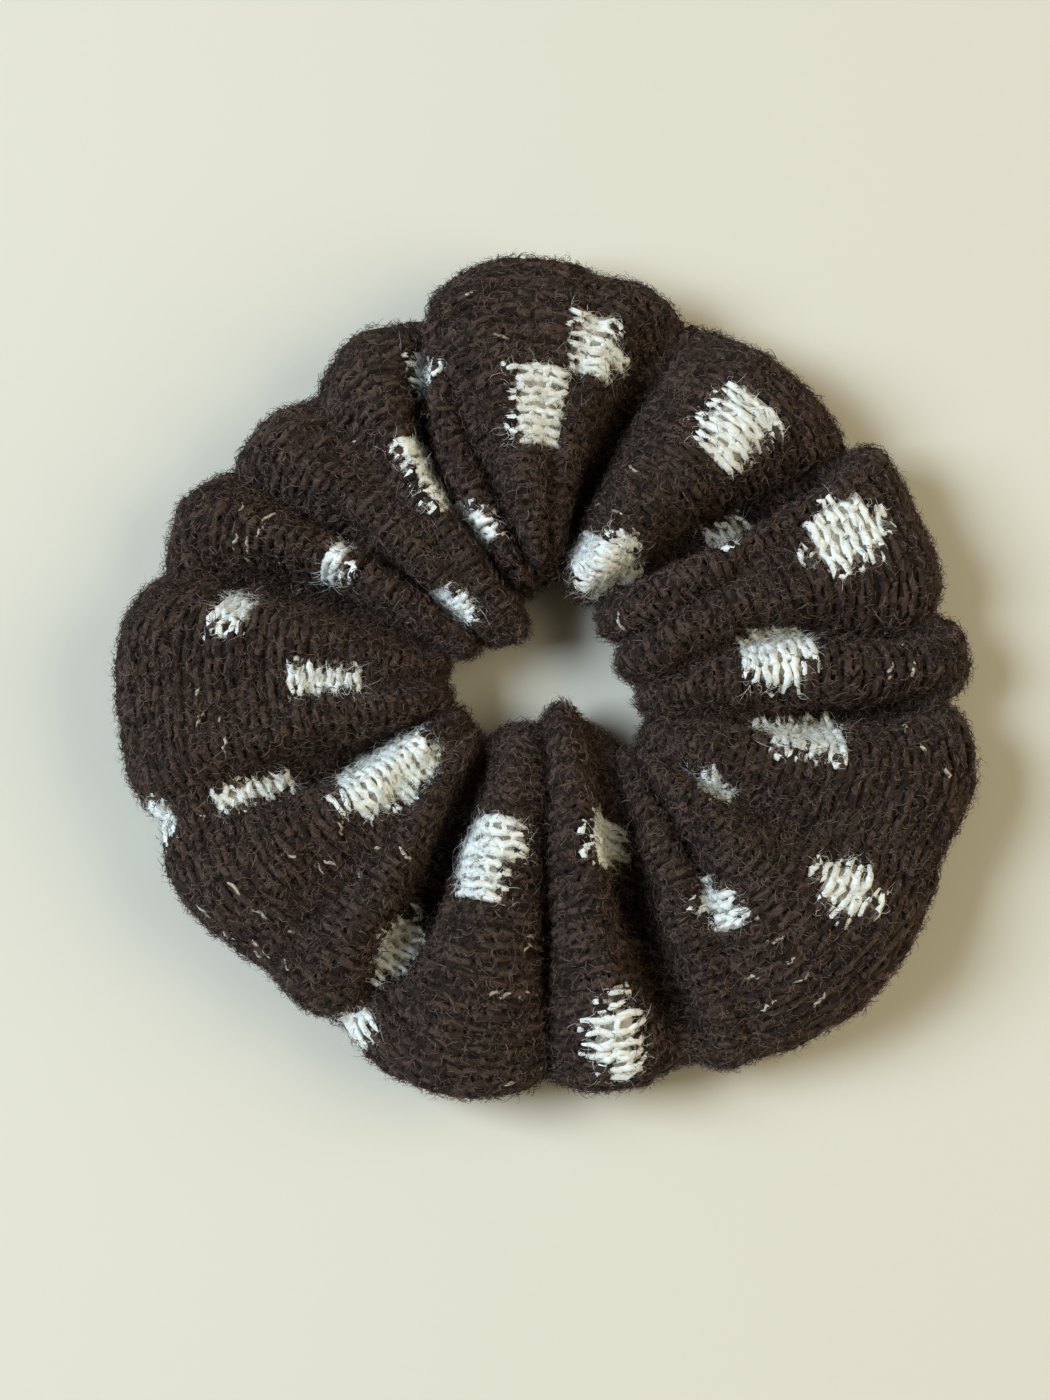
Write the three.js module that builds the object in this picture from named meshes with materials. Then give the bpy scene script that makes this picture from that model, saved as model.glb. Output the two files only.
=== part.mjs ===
// A scrunchie: one strip of knitted cloth, sewn into a tube and gathered round a loop of flat elastic.
// Millimetres, +Z up. The ring lies on z = 0 round the Z axis, with the seam that closes it at -Y.
// The ring is modelled in two halves, so that the back one can be drawn away from the front one.
import * as THREE from "three";

// Driving dimensions.
const RING_OUTER_D = 115; // over the crests of the gathers
const HOLE_D = 23; // the same crests, through the middle
const RING_HEIGHT = 19; // lying on a table
const CLOTH = 2.0; // gathered cloth, one layer
const GATHERS = 16; // pleats round the ring
const GATHER_SWELL = 0.05; // share by which the tube grows at a crest and shrinks at a fold
const FLATTENING = 0.8; // height of the tube's widest level, as a share of its half height
const HALVES_GAP = 0.3; // between the front half and the back half
const CLEARANCE = 0.3; // between pieces that touch on the real object
const SEAM_GAP = 2.4; // between two sewn edges, with the thread in it
const THREAD_D = 0.6;
const THREAD_SWING = 0.5; // each way from the seam's line
const STITCH = 7.5; // one swing of the thread there and back
const LONG_SEAM_INSET = 9; // from the tube's middle circle towards the hole, underneath
const ELASTIC_LOOP = 200; // round the relaxed elastic
const ELASTIC_WIDTH = 6;
const ELASTIC_THICK = 1;
const ELASTIC_OVERLAP = 8; // where its two ends lie on each other
const WHIPPING_TURNS = 4; // of thread round the two ends
const WHIPPING_LENGTH = 6;

// Worked out from them.
const CREST = 1 + GATHER_SWELL;
const RING_MID = (RING_OUTER_D + HOLE_D) / 4;
const HALF_WIDTH = (RING_OUTER_D - HOLE_D) / 4 / CREST;
const HALF_HEIGHT = RING_HEIGHT / (1 + FLATTENING) / CREST;
const MID_HEIGHT = FLATTENING * HALF_HEIGHT;
const ELASTIC_R = ELASTIC_LOOP / (2 * Math.PI);
const WHIPPING_HALF_HEIGHT = ELASTIC_WIDTH / 2 + THREAD_D;
const ELASTIC_HEIGHT = CLOTH * CREST + CLEARANCE + THREAD_D / 2 + WHIPPING_HALF_HEIGHT; // of its middle
const LAYER_STEP = ELASTIC_THICK + CLEARANCE;

// Angles round the ring, counter-clockwise from +X.
const RIGHT = 0;
const LEFT = Math.PI;
const FRONT = -Math.PI / 2;
const TURN = 2 * Math.PI;
const STEPS_PER_GATHER = 4;

const knit = new THREE.MeshStandardMaterial({ color: 0x3b2d2a, roughness: 0.95, metalness: 0 });
const sewing = new THREE.MeshStandardMaterial({ color: 0x2c2220, roughness: 0.7, metalness: 0 });
const rubber = new THREE.MeshStandardMaterial({ color: 0x1d1715, roughness: 0.8, metalness: 0 });

// How far the tube swells at an angle round the ring: most at 0 degrees, and at each gather from there.
function swellAt(angle) {
  return 1 + GATHER_SWELL * Math.cos(GATHERS * angle);
}

// A point of the ring: x out from the tube's middle circle, y up from the table, at an angle round it.
function place(x, y, angle) {
  const swell = swellAt(angle);
  const r = RING_MID + x * swell;
  return new THREE.Vector3(r * Math.cos(angle), r * Math.sin(angle), y * swell);
}

// A plane beside a line through the ring's centre, where a length of tube ends.
function end(angle, gap) {
  return { angle, gap };
}

// The section of the cloth tube: an ellipse flat underneath, one layer thick, open at the long seam.
function clothSection() {
  const x = -LONG_SEAM_INSET;
  const half = SEAM_GAP / 2;
  const outer = Math.asin(MID_HEIGHT / HALF_HEIGHT);
  const inner = Math.asin((MID_HEIGHT - CLOTH) / (HALF_HEIGHT - CLOTH));
  const shape = new THREE.Shape();
  shape.moveTo(x + half, CLOTH);
  shape.lineTo(x + half, 0);
  shape.absellipse(0, MID_HEIGHT, HALF_WIDTH, HALF_HEIGHT, -outer, Math.PI + outer, false);
  shape.lineTo(x - half, 0);
  shape.lineTo(x - half, CLOTH);
  shape.absellipse(
    0, MID_HEIGHT, HALF_WIDTH - CLOTH, HALF_HEIGHT - CLOTH, Math.PI + inner, -inner, true,
  );
  shape.closePath();
  return shape;
}

// The section swept round the ring from one end plane to the other, swelling at each gather.
function tube(from, to) {
  const steps = Math.round((STEPS_PER_GATHER * GATHERS * (to.angle - from.angle)) / TURN);
  const geometry = new THREE.ExtrudeGeometry(clothSection(), {
    depth: 1,
    steps,
    curveSegments: 8,
    bevelEnabled: false,
  });
  const points = geometry.getAttribute("position");
  for (let i = 0; i < points.count; i++) {
    const t = points.getZ(i);
    const swell = swellAt(THREE.MathUtils.lerp(to.angle, from.angle, t));
    const r = RING_MID + points.getX(i) * swell;
    const last = to.angle - Math.asin(to.gap / r);
    const first = from.angle + Math.asin(from.gap / r);
    const angle = THREE.MathUtils.lerp(last, first, t);
    points.setXYZ(i, r * Math.cos(angle), r * Math.sin(angle), points.getY(i) * swell);
  }
  geometry.computeVertexNormals();
  return geometry;
}

// A path given by a function of its share from 0 to 1.
class Path extends THREE.Curve {
  constructor(at) {
    super();
    this.at = at;
  }

  getPoint(t) {
    return this.at(t);
  }
}

function thread(at, steps) {
  const round = new THREE.Shape().absarc(0, 0, THREAD_D / 2, 0, TURN, false);
  return new THREE.ExtrudeGeometry(round, { steps, curveSegments: 3, extrudePath: new Path(at) });
}

const STEPS_PER_STITCH = 6;

// The thread of the long seam, swinging between the strip's two long edges underneath.
function longSeamThread(from, to) {
  const r = RING_MID - LONG_SEAM_INSET;
  const first = from.angle + Math.asin((from.gap + CLEARANCE) / r);
  const last = to.angle - Math.asin((to.gap + CLEARANCE) / r);
  const stitches = Math.round((r * (last - first)) / STITCH);
  const at = (t) => {
    const swing = THREAD_SWING * Math.sin(TURN * stitches * t);
    return place(swing - LONG_SEAM_INSET, CLOTH / 2, THREE.MathUtils.lerp(first, last, t));
  };
  return thread(at, stitches * STEPS_PER_STITCH);
}

// The thread of the closing seam, swinging between the tube's two ends, almost all the way round it.
function closingSeamThread() {
  const a = HALF_WIDTH - CLOTH / 2;
  const b = HALF_HEIGHT - CLOTH / 2;
  const stitches = Math.round((Math.PI * (a + b)) / STITCH);
  const opening = 0.1; // where its two ends meet, as an angle round the section
  const at = (t) => {
    const round = Math.PI + opening / 2 + (TURN - opening) * t;
    const up = Math.max(CLOTH / 2, MID_HEIGHT + b * Math.sin(round));
    const point = place(a * Math.cos(round), up, FRONT);
    point.x += THREAD_SWING * Math.sin(TURN * stitches * t);
    return point;
  };
  return thread(at, stitches * STEPS_PER_STITCH);
}

// The flat elastic, stood on edge on the floor of the tube, with its last end lying outside its first.
function elasticLoop() {
  const overlap = ELASTIC_OVERLAP / ELASTIC_R;
  const rise = 0.5; // angle over which the last end moves out to clear the first
  const strip = new THREE.Shape();
  const low = ELASTIC_HEIGHT - ELASTIC_WIDTH / 2;
  const high = ELASTIC_HEIGHT + ELASTIC_WIDTH / 2;
  strip.moveTo(-ELASTIC_THICK / 2, low);
  strip.lineTo(ELASTIC_THICK / 2, low);
  strip.lineTo(ELASTIC_THICK / 2, high);
  strip.lineTo(-ELASTIC_THICK / 2, high);
  strip.closePath();
  const geometry = new THREE.ExtrudeGeometry(strip, { depth: 1, steps: 72, bevelEnabled: false });
  const points = geometry.getAttribute("position");
  for (let i = 0; i < points.count; i++) {
    const turned = (TURN + overlap) * (1 - points.getZ(i));
    const out = LAYER_STEP * THREE.MathUtils.smoothstep(turned, TURN - rise, TURN);
    const angle = FRONT - overlap / 2 + turned;
    const radius = ELASTIC_R + points.getX(i) + out;
    points.setXYZ(i, radius * Math.cos(angle), radius * Math.sin(angle), points.getY(i));
  }
  geometry.computeVertexNormals();
  return geometry;
}

// Thread whipped round the elastic's two overlapping ends: a coil with a square-cornered section.
function elasticWhipping() {
  const r = ELASTIC_R + LAYER_STEP / 2;
  const room = CLEARANCE + THREAD_D;
  const across = (ELASTIC_THICK + LAYER_STEP) / 2 + room;
  const square = (value) => Math.sign(value) * Math.sqrt(Math.abs(value));
  const at = (t) => {
    const round = TURN * WHIPPING_TURNS * t;
    const angle = FRONT + ((t - 0.5) * WHIPPING_LENGTH) / r;
    const radius = r + across * square(Math.cos(round));
    const height = ELASTIC_HEIGHT + WHIPPING_HALF_HEIGHT * square(Math.sin(round));
    return new THREE.Vector3(radius * Math.cos(angle), radius * Math.sin(angle), height);
  };
  return thread(at, WHIPPING_TURNS * 16);
}

const part = new THREE.Group();

function add(name, geometry, material) {
  const mesh = new THREE.Mesh(geometry, material);
  mesh.name = name;
  part.add(mesh);
}

const split = HALVES_GAP / 2;
const seam = SEAM_GAP / 2;

// The three lengths of the one strip of cloth, with the thread of its long seam.
const lengths = {
  front_right: [end(FRONT, seam), end(RIGHT, split)],
  back: [end(RIGHT, split), end(LEFT, split)],
  front_left: [end(LEFT, split), end(FRONT + TURN, seam)],
};
for (const [name, [from, to]] of Object.entries(lengths)) {
  add("cover_" + name, tube(from, to), knit);
  add("long_seam_thread_" + name, longSeamThread(from, to), sewing);
}
add("closing_seam_thread", closingSeamThread(), sewing);
add("elastic_band", elasticLoop(), rubber);
add("elastic_join_thread", elasticWhipping(), sewing);

export default part;
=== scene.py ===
"""A knitted polka-dot scrunchie: yarn, fibre halo, seams and elastic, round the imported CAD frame."""
import math

import bpy
import numpy as np
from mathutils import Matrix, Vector


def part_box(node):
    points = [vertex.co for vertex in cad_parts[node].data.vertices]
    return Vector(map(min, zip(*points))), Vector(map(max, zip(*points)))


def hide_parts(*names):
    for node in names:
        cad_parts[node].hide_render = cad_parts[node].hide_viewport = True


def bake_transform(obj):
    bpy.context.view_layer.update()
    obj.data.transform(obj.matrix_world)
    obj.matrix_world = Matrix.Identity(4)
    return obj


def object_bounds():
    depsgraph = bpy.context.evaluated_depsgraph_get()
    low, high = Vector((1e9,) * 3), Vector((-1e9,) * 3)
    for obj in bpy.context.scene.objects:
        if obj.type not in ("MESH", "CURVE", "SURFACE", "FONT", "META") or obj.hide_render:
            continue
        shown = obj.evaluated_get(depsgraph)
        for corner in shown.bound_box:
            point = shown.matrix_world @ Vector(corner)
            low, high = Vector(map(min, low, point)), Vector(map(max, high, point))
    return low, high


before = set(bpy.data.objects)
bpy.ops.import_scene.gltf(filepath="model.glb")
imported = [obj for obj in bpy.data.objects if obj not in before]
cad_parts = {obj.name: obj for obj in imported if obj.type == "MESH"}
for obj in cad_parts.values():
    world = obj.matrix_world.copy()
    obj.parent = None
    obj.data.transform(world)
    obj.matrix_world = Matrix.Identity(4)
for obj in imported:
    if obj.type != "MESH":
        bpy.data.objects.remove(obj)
cad_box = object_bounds()

MM = 0.001
TURN = 2 * math.pi
FRONT = -math.pi / 2  # angle of the closing seam round the ring
RANDOM = np.random.default_rng(819)

# The knit, in millimetres. Wales run along the ring, and courses follow each other round it.
# A lift is outwards from the cloth's grid, which the folds shape.
WALES = 38
WALE = 2.65
COURSE = 1.65
GROWTH = -1  # the knitting grows clockwise round the ring
YARN_RADIUS = 0.56
# The yarn of a brown and of a cream stitch: the radius, the steps along it and the sides.
BROWN_YARN = (YARN_RADIUS, 8, 5)
CREAM_YARN = (0.46, 10, 6)
YARN_UNEVENNESS = (0.8, 1.2)  # least and most of the yarn's radius
WOBBLE = 0.24  # of the yarn from its even path
# Waves of its unevenness: how many to a wale and how many round the ring, and where each starts.
YARN_WAVES = ((2.3, 37, 0), (-1.7, 61, 1), (3.1, 97, 0))
SIDE_WAVE = (1.9, -83, 2)  # the same for its wobble to the side, and how far the unevenness shifts it
LOOP_REACH = 0.92  # of a loop's head and foot from its middle, in courses
LOOP_NARROWING = 0.2  # of a loop's legs towards its foot, in wales
LOOP_WIDTH = 0.95  # of a loop, in wales
FURROW = 0.3  # depth of the cloth between wales
LOOP_RELIEF = 0.2  # how far the legs stand in front of the head and foot
YARN_LIFT = 0.38  # of the yarn's mean level
YARN_PIECES = 4
GROUND_THICKNESS = 0.8
GROUND_LIFT = 0.5  # of the ground cloth's outer face

# The ring, in millimetres.
TABLE_GAP = 0.03  # between the lowest yarn and the table
UNDERSIDE = 1.1  # height of the cloth's grid where it lies on the table
WIDEST_AT = 8.0  # height of the tube's widest level
NOMINAL_HALF = (22.0, 9.0)  # of the section, across and up
TUBE_POWER = 2.35  # of the section's superellipse: 2 is round, more is boxier
FLAT_POWER = 3.6  # the same for the underside, pressed flat
RIM_STRETCH = 0.14  # of the stitches, wider at the rim and narrower at the hole
BELOW = 0.13  # share of a fold's depth that is left on the underside
MOST_FLOOR = 0.65  # of a gather's half width that the floor of a fold may take
GAP_POWER = 0.4  # how fast the floor of a fold narrows towards the hole and the rim
OVERHANG = 0.03  # how far a fold's walls bulge over its floor, as a share of their depth
CREST_POWER = 2.3  # of the superellipse over a gather: 2 is round, more is flatter
SWELLS = 0.55  # height of the cloth's unevenness
SWELL_SUM = 4  # sum of its waves that counts as the full height
# Its waves: the length and the direction of each.
SWELL_WAVES = (
    (29, (1, 0.4, 2)),
    (17, (-0.6, 1, 1)),
    (11, (0.9, -0.8, 1.5)),
    (8, (0.2, 1, -2)),
    (5.3, (1, 0.3, -1)),
    (4.1, (-0.5, 1, 0.6)),
)

# How finely the cloth is worked out.
SECTION_STEPS = 2000
SECTION_SAMPLES = 4 * WALES
COURSE_SAMPLES = 3
LOBE_SAMPLES = 129
SHEET_SMOOTHING = 2  # passes over the sheet once its gathers are joined
FOLD_SMOOTHING = 60  # passes that level the folds out
SHALLOW = 0.6  # depth under the levelled cloth where the folds' painted shade, their darker yarn, starts
DEEP = 2.6  # depth where all the yarn gets the painted shade

# Dots and flecks, and where they may lie.
VIEW_TILT = math.radians(10)  # of the view that they and the folds are placed in, from straight down
LEAST_DOT = 4.2  # across the smallest dot
LEAST_FACING = -0.15  # upward part of the cloth's normal where dots that show may lie
DEEPEST_DOT = 0.7  # hollowness up to which they may lie
LEAST_FLECK_FACING = -0.1  # the same as LEAST_FACING, for flecks
STEEPNESS_COST = 9  # square millimetres added to the squared distance of a stitch that stands upright
LATTICE = 14  # dots round the ring in each row underneath
LATTICE_WALES = (2, 8)  # where the two rows are
LATTICE_DOT = (2.5, 2.8)  # half the size of such a dot, in wales and courses
FLECK_STEP = (0, 2)  # wales and courses from a fleck to its double
FLECK_SHARE = 0.75  # of the flecks and their doubles that are kept
FLECK_LEGS = (0.25, 0.75)  # the places along a stitch where its two legs are
FLECK_REACH = (0.06, 0.12)  # least and most half length, as a share of a stitch
FLECK_POINTS = 6
FLECK_SIDES = 6
FLECK_LIFT = 0.22
FLECK_TAPER = 0.35  # angle that rounds a fleck's ends off

# Loose fibres: how many, before some are left out, the mean length, the radius, the least and the most rise,
# and the spread of their curl.
NAP = (190000, 1.5, 0.05, 0.0, 0.5, 3.6)
HALO = (66000, 1.5, 0.024, 0.4, 1.2, 2.6)
# The same for cream, but how many for each stitch, with none left out.
CREAM_NAP = (19, 1.5, 0.03, 0.0, 0.5, 2.6)
CREAM_HALO = (4, 2.4, 0.022, 0.2, 0.7, 1.4)
NAP_PIECES = 16
HALO_PIECES = 6
CREAM_NAP_PIECES = 2
FIBRE_STEPS = 3
FIBRE_ROOT = (0.75, 1.2)  # least and most distance from the yarn's middle, in its radii
FIBRE_LENGTHS = (0.5, 1.5)  # least and most, as shares of the mean length
FIBRE_THICKNESSES = (0.6, 1.4)  # the same for the radius
FIBRE_TIP = 0.45  # share of its radius that a fibre narrows down towards, before its point
FIBRE_ARCH = (1.6, 2.2)  # of its rise: at its root, and how much less at its tip
FIBRE_SIDE = (0.31, -0.47, 0.83)  # a direction that hardly any fibre takes
UNDERSIDE_FACING = -0.5  # upward part of the normal below which the cloth counts as underside
UNDERSIDE_SHARE = 0.35  # of the fibres that a patch of the underside keeps
STRAY_SHARE = 0.05  # of its brown fibres that a cream stitch keeps

# The seams.
THREAD_RADIUS = 0.2
THREAD_SIDES = 6
LONG_SEAM = math.radians(235)  # section angle of the tube's own seam: underneath, towards the hole
LONG_STITCH = 1.9  # courses to one swing of the thread there and back
LONG_SWING = 0.42  # each way from the seam's line, in wales
LONG_LIFT = (0.62, 0.2)  # of the thread: the mean, and the swing each way
LONG_MARGIN = 0.4  # courses from the thread's ends to the closing seam
LONG_SAMPLES = 8  # for each course
CLOSING_SWING = 0.3  # each way from the seam's line, in courses
CLOSING_LIFT = (0.3, 0.1)
CLOSING_MARGIN = 0.2  # wales from the thread's ends to the long seam
CLOSING_SAMPLES = 12  # for each wale

# The elastic.
ELASTIC_WIDTH = 6.0
ELASTIC_THICK = 1.0
ELASTIC_OVERLAP = 8.0  # of its two ends
ELASTIC_RIBS = 7
ELASTIC_EDGE_POWER = 8  # of its rounded edges: more is squarer
ELASTIC_STEPS = 720
RIB_SAMPLES = 8
RIB_DEPTH = 0.25
LAYER_STEP = 1.3  # between the two ends, where one lies on the other
END_RISE = 0.5  # angle over which the outer end clears the inner one
ELASTIC_FLOOR = 2.3  # lowest height of its lower edge, which clears the cloth underneath
ELASTIC_CLEARANCE = 1.2  # between its upper edge and the grid of the cloth over it
FLATTEST = 0.2  # share of its width that it stands up, where it lies flattest
FOLD_REACH = math.radians(5)  # how far along the elastic a fold presses it down
CEILING_SAMPLES = 360  # round the ring
WHIPPING_TURNS = 14
WHIPPING_SAMPLES = 24  # for each turn
WHIPPING_LENGTH = 6.0
WHIPPING_BOXINESS = 0.5  # power of its turns: 1 is round, less is boxier
WHIPPING_MARGIN = 0.3  # of the thread's middle past the elastic's edges
elastic_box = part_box("elastic_band")
ELASTIC_R = elastic_box[1].x / MM - ELASTIC_THICK / 2
ELASTIC_LOW = elastic_box[0].z / MM  # its lower edge where it stands upright

# Finishes: the roughness, the size of the grain and the height of its bumps in metres.
BROWN_FINISH = (0.9, 0.00025, 0.0003)
CREAM_FINISH = (0.85, 0.0004, 0.00012)
FIBRE_FINISH = (0.85, 0.0003, 0.00003)
GROUND_FINISH = (0.95, 0.0005, 0.0002)
BROWN_SHEEN = 0.3
CREAM_SHEEN = 0.2
SHEEN_ROUGHNESS = 0.6
SPECULAR = 0.25  # low, as fibres scatter light
ROUGHNESS_SPREAD = 0.08  # each way
GRAIN_DETAIL = 3
MOTTLING_DETAIL = 5
MOTTLING = (0.35, 0.65)  # where in the noise one colour ends and the other starts

# The view, in metres, and the light: the name, the place, the size, the power in watts and the colour.
CAMERA_DISTANCE = 0.45
CAMERA_LENS = 86
CAMERA_ELEVATION = math.radians(80)
TARGET_SHIFT = (-0.0028, -0.0034)  # of the point looked at, from the ring's middle
TARGET_HEIGHT = 0.008
FLOOR_SIZE = 3
LIGHTS = (
    ("window", (-0.88, 0.06, 0.86), 0.65, 17.2, (0.83, 0.93, 1.0)),
    ("lamp", (0.85, -0.02, 0.62), 0.9, 7.6, (1.0, 0.84, 0.56)),
)
ROOM_COLOUR = (1.0, 0.85, 0.56)
ROOM_STRENGTH = 0.14

# Folds of the gathers, counter-clockwise from the closing seam. Each has its angle in degrees and its depth
# in millimetres at the hole's edge, a third and two thirds of the way out, and the rim. Then come how sharp
# it is, and how wide its floor is on its clockwise and its counter-clockwise side.
FOLDS = [
    ((-90, -90, -90, -90), (1.6, 6.4, 8.2, 6.6), 1.0, (1.1, 1.1)),
    ((-48, -65, -68, -69), (4.0, 8.0, 9.0, 2.0), 0.4, (4.5, 4.5)),
    ((-44, -50, -56, -58), (4.0, 4.0, 1.2, 0.4), 0.7, (1.0, 1.0)),
    ((-38, -33, -30, -27), (2.0, 3.8, 3.0, 1.6), 0.3, (1.2, 1.2)),
    ((-20, -13, -8, -4), (5.0, 9.0, 11.0, 4.5), 0.9, (1.2, 5.4)),
    ((-6, 13, 10, 9), (5.0, 6.0, 11.0, 5.6), 0.9, (2.4, 2.0)),
    ((23, 28, 30, 30), (4.5, 3.8, 0.4, 0.0), 0.6, (0.8, 0.8)),
    ((52, 40, 34.5, 36), (8.0, 11.5, 11.8, 5.5), 1.0, (1.4, 7.4)),
    ((84, 81, 75.5, 69), (7.5, 10.0, 10.0, 4.5), 0.8, (4.0, 4.0)),
    ((91, 88.5, 86, 86), (5.0, 3.4, 0.8, 0.1), 0.6, (0.6, 0.6)),
    ((95, 105, 107, 103), (6.0, 5.0, 1.4, 0.5), 0.6, (1.2, 1.2)),
    ((109, 118, 114, 107), (6.5, 10.5, 10.5, 5.5), 0.9, (3.6, 3.6)),
    ((131, 129, 129, 129), (0.5, 0.6, 1.4, 5.0), 0.5, (0.6, 0.6)),
    ((147, 142, 143.5, 147), (4.5, 7.0, 7.0, 3.5), 0.8, (2.4, 2.4)),
    ((167, 158, 159.5, 165), (5.5, 9.5, 11.0, 3.5), 0.8, (4.0, 4.2)),
    ((184, 184, 184, 187), (3.0, 1.8, 1.6, 0.4), 0.3, (0, 0)),
    ((200, 200.5, 201, 201), (5.0, 11.0, 5.0, 3.0), 0.7, (3.8, 3.8)),
    ((214, 222, 225.5, 226), (1.5, 1.4, 2.4, 2.0), 0.2, (0.4, 0.4)),
    ((228, 238.5, 242, 240), (5.5, 11.5, 9.5, 2.5), 0.8, (4.0, 3.8)),
    ((270, 270, 270, 270), (1.6, 6.4, 8.2, 6.6), 1.0, (1.1, 1.1)),
]

# The lobes between them: the radius at the rim, at the hole's edge, the height of the crest, and how far the
# crest leans over counter-clockwise.
LOBES = [
    (55.6, 4.6, 17.6, 0.0),
    (57.0, 14.5, 15.5, 0.0),
    (60.0, 16.6, 18.2, 0.0),
    (58.0, 16.0, 17.6, 0.5),
    (56.2, 13.2, 15.2, 0.0),
    (54.6, 10.2, 16.4, 0.0),
    (54.4, 10.4, 16.6, 0.5),
    (52.7, 12.6, 17.4, 0.0),
    (55.2, 13.4, 16.4, 1.0),
    (57.0, 13.0, 18.6, 0.0),
    (54.7, 11.6, 16.8, 0.0),
    (53.0, 6.6, 17.4, 0.0),
    (51.2, 8.0, 16.4, 0.0),
    (53.6, 10.4, 15.6, 0.0),
    (56.8, 14.0, 17.8, 0.0),
    (56.6, 13.6, 17.2, 0.0),
    (56.0, 12.6, 16.8, 0.0),
    (53.8, 12.4, 16.6, 0.0),
    (56.4, 8.0, 17.6, 0.0),
]

# Cream dots, as they lie: the angle, the distance from the middle, and the size along the ring and across it.
DOTS = [
    (-80, 49.0, 7.7, 10.7),
    (-71.5, 23.5, 4.9, 8.6),
    (-53, 38.9, 5.4, 8.7),
    (-36, 49.0, 6.8, 10.1),
    (-34, 26.8, 2.8, 7.9),
    (-14, 35.6, 6.9, 13.0),
    (6, 30.9, 8.1, 10.7),
    (25.5, 44.3, 9.3, 12.1),
    (37.5, 30.9, 3.2, 6.0),
    (53, 42.3, 8.9, 12.1),
    (61, 17.4, 9.0, 8.4),
    (82, 45.0, 7.8, 9.4),
    (92, 36.9, 7.8, 13.0),
    (112, 45.0, 2.7, 6.7),
    (121, 32.6, 4.6, 12.0),
    (114, 22.1, 2.7, 7.4),
    (143, 15.4, 5.1, 6.0),
    (152, 32.2, 2.8, 5.1),
    (169, 42.3, 3.7, 6.7),
    (181, 29.5, 5.2, 11.1),
    (201.5, 55.5, 7.0, 5.5),
    (202, 41.6, 4.7, 11.4),
    (213, 24.8, 9.1, 14.8),
    (242, 53.4, 6.4, 5.0),
    (241.5, 41.6, 6.5, 10.5),
    (253, 25.8, 6.4, 14.0),
]

# Flecks of cream yarn that show through between the dots: the angle and the distance from the middle.
FLECKS = [
    (-96.5, 35.6), (-95, 38.9), (-97, 42.3), (-95, 45.4), (-96, 53.0),
    (-57, 54.4), (-57, 51.7), (-56.5, 49.0), (-55, 46.3), (-13, 50.0), (-13.5, 53.0),
    (-0.5, 47.2), (-1.5, 48.6), (0.5, 49.8), (-3, 47.6),
    (24.5, 15.4), (26, 20.0), (56, 26.2), (57, 29.3), (58, 24.2), (67, 22.8),
    (96, 53.3), (98, 49.7), (96, 47.2), (124, 42.9),
    (152, 46.3), (150, 42.9), (154, 43.6), (152, 40.3), (155, 34.6),
    (182, 46.3), (187, 42.9), (198, 49.9), (215, 53.4), (218, 53.4), (221, 53.4), (224, 53.4),
    (215, 50.3), (220, 49.7), (216, 40.9), (221, 37.3), (216, 34.2), (225, 31.1), (258, 36.0), (259, 42.4),
]


def signed_power(values, power):
    return np.sign(values) * np.abs(values) ** power


def mixed(first, second, share):
    return first + (second - first) * share


def unit(vectors):
    return vectors / np.maximum(np.linalg.norm(vectors, axis=-1, keepdims=True), 1e-9)


def through_stations(values, out):
    """A smooth curve through values at the hole's edge, a third and two thirds of the way, and the rim."""
    a, b, c, d = values
    t = 3 * out
    near = b * t * (t - 2) * (t - 3) / 2 - a * (t - 1) * (t - 2) * (t - 3) / 6
    far = d * t * (t - 1) * (t - 2) / 6 - c * t * (t - 1) * (t - 3) / 2
    return near + far


def section_height(sine, top):
    """Height of the tube's section over the table: round above its widest level, and flatter below it."""
    above = WIDEST_AT + (top - WIDEST_AT) * np.abs(sine) ** (2 / TUBE_POWER)
    below = WIDEST_AT - (WIDEST_AT - UNDERSIDE) * np.abs(sine) ** (2 / FLAT_POWER)
    return np.where(sine > 0, above, below)


def section_angles():
    """Section angles from the long seam on, one for each row. 0 is the rim and a quarter turn the top."""
    angle = LONG_SEAM + np.linspace(0, TURN, SECTION_STEPS)
    x = NOMINAL_HALF[0] * signed_power(np.cos(angle), 2 / TUBE_POWER)
    z = section_height(np.sin(angle), 2 * NOMINAL_HALF[1])
    stretch = 1 + RIM_STRETCH * x[1:] / NOMINAL_HALF[0]
    length = np.concatenate([[0], np.cumsum(np.hypot(np.diff(x), np.diff(z)) / stretch)])
    return np.interp(np.arange(SECTION_SAMPLES) / SECTION_SAMPLES * length[-1], length, angle)


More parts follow.
